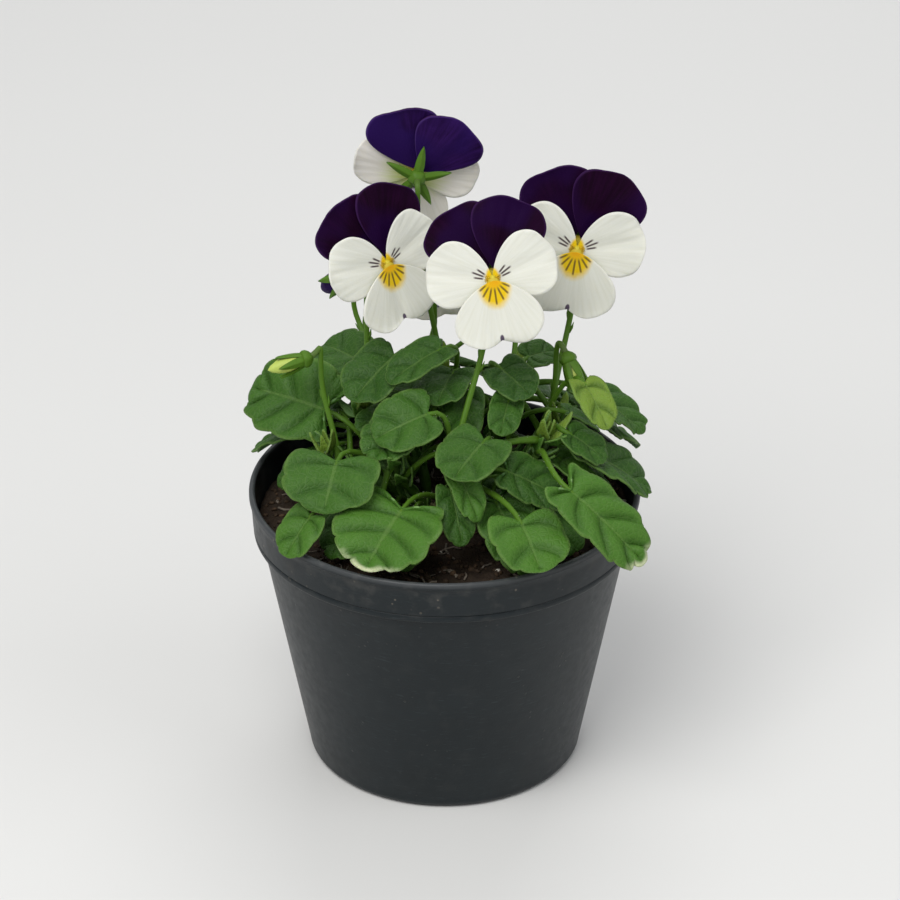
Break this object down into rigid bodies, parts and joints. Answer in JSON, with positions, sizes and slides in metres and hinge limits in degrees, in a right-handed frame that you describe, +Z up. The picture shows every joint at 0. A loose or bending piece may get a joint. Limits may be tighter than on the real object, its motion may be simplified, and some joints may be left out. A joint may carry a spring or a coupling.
{
  "type": "potted horned violet",
  "caption": "Bushy viola in a round tapered nursery pot: crenate leaves in a low mound, two-coloured blooms and nodding buds on hooked stalks.",
  "frame": {"origin": "centre of the pot's base, on the surface that the pot stands on", "axes": "+Z up the pot's axis; -Y towards the plant's front, where its blooms look; +X to its right"},
  "size_m": [0.0931, 0.1, 0.1522],
  "materials": {
    "pot_plastic": "black moulded plastic with a soft sheen and specks of compost",
    "compost": "dark, damp, crumbly potting compost",
    "crown": "dull brownish-green plant crown and root",
    "foliage": "matte mid-green leaves and paler green stems",
    "petal_violet": "velvety dark violet",
    "petal_white": "soft creamy white with a yellow eye"
  },
  "bodies": {
    "root": {"pot": "pot_plastic", "compost": "compost", "crown": "crown", "leafy_stem_1": "foliage", "leafy_stem_2": "foliage", "leafy_stem_3": "foliage", "leafy_stem_4": "foliage", "leafy_stem_5": "foliage", "leafy_stem_6": "foliage", "leafy_stem_7": "foliage", "leafy_stem_8": "foliage", "leafy_stem_9": "foliage", "bloom_left_upper_petals": "petal_violet", "bloom_left_lower_petals": "petal_white", "bloom_centre_upper_petals": "petal_violet", "bloom_centre_lower_petals": "petal_white", "bloom_right_upper_petals": "petal_violet", "bloom_right_lower_petals": "petal_white", "bloom_back_upper_petals": "petal_violet", "bloom_back_lower_petals": "petal_white", "bloom_rear_upper_petals": "petal_violet", "bloom_rear_lower_petals": "petal_white", "bud_rear_left_petals": "petal_violet", "bud_rear_right_petals": "petal_violet"}
  },
  "joints": []
}
